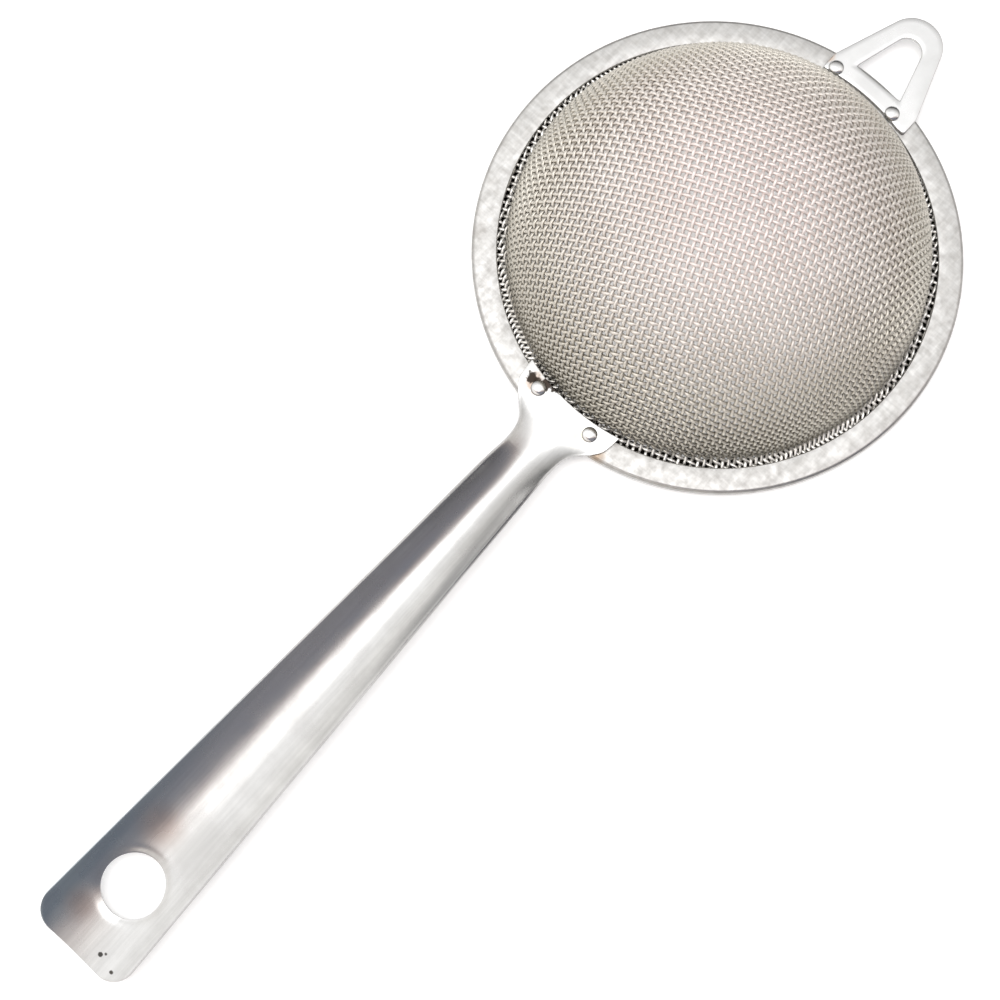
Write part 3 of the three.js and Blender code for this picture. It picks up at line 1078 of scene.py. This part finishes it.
HANDLE_STEEL = handle_steel()
HANDLE_ROUNDING = 0.3
handle = thick_and_rounded(
    new_piece("long_handle", handle_points, handle_faces, HANDLE_STEEL),
    HANDLE_SHEET,
    HANDLE_ROUNDING,
)
print("handle modifiers:", [modifier.name for modifier in handle.modifiers])

# %% [markdown]
# ## The hook plate
#
# A small flat stamping opposite the handle lets the sifter rest across a bowl. Its outline and its
# cut-out are both rounded triangles. Both are read at the same angles round one middle point, so
# strips of faces join them.

# %% Hook steel
def hook_steel():
    """Bright brushed steel with a brown heat mark at one corner."""
    finish = steel("hook_steel", (0.64, 0.638, 0.635), (0.56, 0.558, 0.553), (0.24, 0.34), 10.0)
    brushed = streaks(finish, (1, 0.05, 1), 1500, 0.2, 7.0)
    mark(finish, (46.8, 10.4), 1.1, 0.8, 1.0, 0.75, (0.50, 0.26, 0.09))
    return finish_off(finish, brushed, 0.01)


HOOK_STEEL = hook_steel()

# %% [markdown]
# The base of the outline follows the bowl, so its points are moved out to a circle. The flat sheet is
# then finished with the same two modifiers as the handle.

# %% The hook plate
HOOK_SHIFT = -1.2
HOOK_SHEET = 0.8
HOOK_ROUNDING = 0.18
HOOK_BASE_R = 45.2
HOOK_MIDDLE = (54.5, 0.0)
HOOK_ANGLES = 180
HOOK_STRIPS = 4


def nosed_outline(base_x, half_width, shoulder_x, nose_x, nose_r, corner):
    """A triangle with a straight base, rounded base corners and a round nose, as a dense line."""
    reach = nose_x - shoulder_x
    angle = math.atan2(half_width, -reach) - math.acos(nose_r / math.hypot(reach, half_width))
    nose = arc(nose_x, 0, nose_r, -math.degrees(angle), math.degrees(angle), 30)
    outline = rounded([(base_x, -half_width), (shoulder_x, -half_width)], corner, nose[0])
    return outline + nose + [(x, -y) for x, y in reversed(outline)]


def rounded(corners, radius, after):
    """The corner points with each corner cut by a small curve of about that radius."""
    line = []
    path = [(corners[0][0], 0), *corners, after]
    for a, b, c in zip(path, path[1:], path[2:]):
        to_a, to_c = Vector(a) - Vector(b), Vector(c) - Vector(b)
        if radius == 0 or to_a.length < radius or to_c.length < radius:
            line.append(b)
            continue
        start = Vector(b) + to_a.normalized() * radius
        end = Vector(b) + to_c.normalized() * radius
        for i in range(7):
            t = i / 6
            line.append(tuple((1 - t) ** 2 * start + 2 * t * (1 - t) * Vector(b) + t * t * end))
    return line


def seen_from(outline, centre, count):
    """The outline's points at equal angles round a centre inside it."""
    found = []
    for step in range(count):
        angle = 2 * math.pi * (step + 0.5) / count
        ray = Vector((math.cos(angle), math.sin(angle)))
        best = None
        for a, b in zip(outline, outline[1:] + outline[:1]):
            p, q = Vector(a) - Vector(centre), Vector(b) - Vector(centre)
            edge = q - p
            cross = ray.x * edge.y - ray.y * edge.x
            if abs(cross) < 1e-9:
                continue
            far = (p.x * edge.y - p.y * edge.x) / cross
            share = (p.x * ray.y - p.y * ray.x) / cross
            if far > 0 and -1e-6 <= share <= 1 + 1e-6 and (best is None or far > best):
                best = far
        found.append((centre[0] + ray.x * best, centre[1] + ray.y * best))
    return found


def trim_to_bowl(x, y):
    """Keeps the plate's base on a circle round the bowl."""
    return max(x, math.sqrt(HOOK_BASE_R ** 2 - (y + HOOK_SHIFT) ** 2)), y


def hook_sheet():
    """Strips of faces between the outline and the cut-out."""
    outside = nosed_outline(
        base_x=44.0, half_width=10.9, shoulder_x=48.2, nose_x=60.0, nose_r=6.3, corner=0
    )
    inside = nosed_outline(
        base_x=49.0, half_width=5.7, shoulder_x=49.2, nose_x=58.3, nose_r=3.0, corner=0.9
    )
    outer = [trim_to_bowl(x, y) for x, y in seen_from(outside, HOOK_MIDDLE, HOOK_ANGLES)]
    inner = seen_from(inside, HOOK_MIDDLE, HOOK_ANGLES)
    height = PLATE_LOW + HOOK_SHEET / 2
    points, faces = [], []
    for strip in range(HOOK_STRIPS + 1):
        for (ax, ay), (bx, by) in zip(outer, inner):
            share = strip / HOOK_STRIPS
            points.append((mix(ax, bx, share), mix(ay, by, share) + HOOK_SHIFT, height))
    for strip in range(HOOK_STRIPS):
        a, b = strip * HOOK_ANGLES, (strip + 1) * HOOK_ANGLES
        for k in range(HOOK_ANGLES):
            m = (k + 1) % HOOK_ANGLES
            faces.append((a + k, a + m, b + m, b + k))
    return points, faces


hook_points, hook_faces = hook_sheet()
hook = thick_and_rounded(
    new_piece("rest_hook", hook_points, hook_faces, HOOK_STEEL), HOOK_SHEET, HOOK_ROUNDING
)
print("hook plate faces:", len(hook_faces))

# %% [markdown]
# ## The rivets
#
# Four round-headed rivets hold the flange and the hook plate. They are alike, so Geometry Nodes make
# one from a ball and a short rod, and put a copy on each of four points that come from the solid model.

# %% Rivet steel
def rivet_steel():
    """Bright steel with a very fine even grain."""
    finish = steel("rivet_steel", (0.66, 0.655, 0.65), (0.54, 0.535, 0.53), (0.14, 0.24), 1.2)
    return finish_off(finish, streaks(finish, (1, 1, 1), 1800), 0.015)


RIVET_STEEL = rivet_steel()

# %% [markdown]
# The ball's upper half is pressed down into the head, and its lower half flat against the seat. The
# rod is the shank, and it runs from the floor of the model up to the seat.

# %% Geometry Nodes for the rivets
RIVET_INPUTS = {
    "Head Radius": "NodeSocketFloat",
    "Head Height": "NodeSocketFloat",
    "Shank Radius": "NodeSocketFloat",
    "Seat Height": "NodeSocketFloat",
    "Sides": "NodeSocketInt",
    "Rivet Steel": "NodeSocketMaterial",
}


def rivet_tree():
    """Puts a headed rivet on every point."""
    tree = new_tree("rivets", RIVET_INPUTS)
    given = add(tree, "NodeGroupInput").outputs
    ball = add(
        tree,
        "GeometryNodeMeshUVSphere",
        {"Segments": given["Sides"], "Rings": 16, "Radius": given["Head Radius"]},
    ).outputs["Mesh"]
    place = add(tree, "GeometryNodeInputPosition").outputs[0]
    at = add(tree, "ShaderNodeSeparateXYZ", {0: place}).outputs
    up = calc(tree, "DIVIDE", calc(tree, "MAXIMUM", at["Z"], 0.0), given["Head Radius"])
    domed = calc(tree, "MULTIPLY", calc(tree, "POWER", up, 0.8), given["Head Height"])
    pressed_place = add(
        tree,
        "ShaderNodeCombineXYZ",
        {0: at["X"], 1: at["Y"], 2: calc(tree, "ADD", domed, given["Seat Height"])},
    ).outputs[0]
    head = add(
        tree, "GeometryNodeSetPosition", {"Geometry": ball, "Position": pressed_place}
    ).outputs[0]
    rod = add(
        tree,
        "GeometryNodeMeshCylinder",
        {"Vertices": given["Sides"], "Radius": given["Shank Radius"],
         "Depth": given["Seat Height"]},
    ).outputs["Mesh"]
    half_way = calc(tree, "MULTIPLY", given["Seat Height"], 0.5)
    rise = add(tree, "ShaderNodeCombineXYZ", {2: half_way}).outputs[0]
    shank = add(
        tree, "GeometryNodeTransform", {"Geometry": rod, "Translation": rise}
    ).outputs[0]
    join = tree.nodes.new("GeometryNodeJoinGeometry")
    for part in (head, shank):
        tree.links.new(part, join.inputs[0])
    soft = add(tree, "GeometryNodeSetShadeSmooth", {"Geometry": join.outputs[0]}).outputs[0]
    copies = add(
        tree, "GeometryNodeInstanceOnPoints", {"Points": given["Geometry"], "Instance": soft}
    ).outputs[0]
    real = add(tree, "GeometryNodeRealizeInstances", {"Geometry": copies}).outputs[0]
    done = add(
        tree, "GeometryNodeSetMaterial", {"Geometry": real, "Material": given["Rivet Steel"]}
    ).outputs[0]
    add(tree, "NodeGroupOutput", {0: done})
    return tree


HEAD_R = 1.6
HEAD_HEIGHT = 0.68
SHANK_R = 0.95
SEAT_GAP = 0.02
RIVET_NODES = ["handle_rivet_left", "handle_rivet_right", "hook_rivet_left", "hook_rivet_right"]


def rivet_points():
    """A mesh with one point in the middle of each rivet, on the floor of the model."""
    mesh = bpy.data.meshes.new("rivet_points")
    middles = [(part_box(node)[0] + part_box(node)[1]) / 2 for node in RIVET_NODES]
    mesh.from_pydata([(m.x, m.y, 0) for m in middles], [], [])
    return mesh


rivets = grown(
    "rivets",
    rivet_points(),
    rivet_tree(),
    {
        "Head Radius": HEAD_R * MM,
        "Head Height": HEAD_HEIGHT * MM,
        "Shank Radius": SHANK_R * MM,
        "Seat Height": (PLATE_HIGH + SEAT_GAP) * MM,
        "Sides": 32,
        "Rivet Steel": RIVET_STEEL,
    },
)

# %% [markdown]
# ## Joining the pieces to the solid model
#
# Nothing on this sifter moves, so every piece rides on the one body. Each piece says which solid it
# stands for and which finish it has.

# %% Ride and replace
PIECES = [
    (ring, ["rim"], "rim_steel"),
    (weave["bowl_warp"], ["mesh_bowl"], "mesh_wire"),
    (weave["bowl_weft"], ["mesh_bowl"], "mesh_wire"),
    (handle, ["handle"], "handle_steel"),
    (hook, ["hook_plate"], "hook_steel"),
    (rivets, RIVET_NODES, "rivet_steel"),
]
for piece, nodes, slot_name in PIECES:
    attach(piece, "root")
    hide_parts(*nodes)
print("pieces:", [piece.name for piece, _, _ in PIECES])
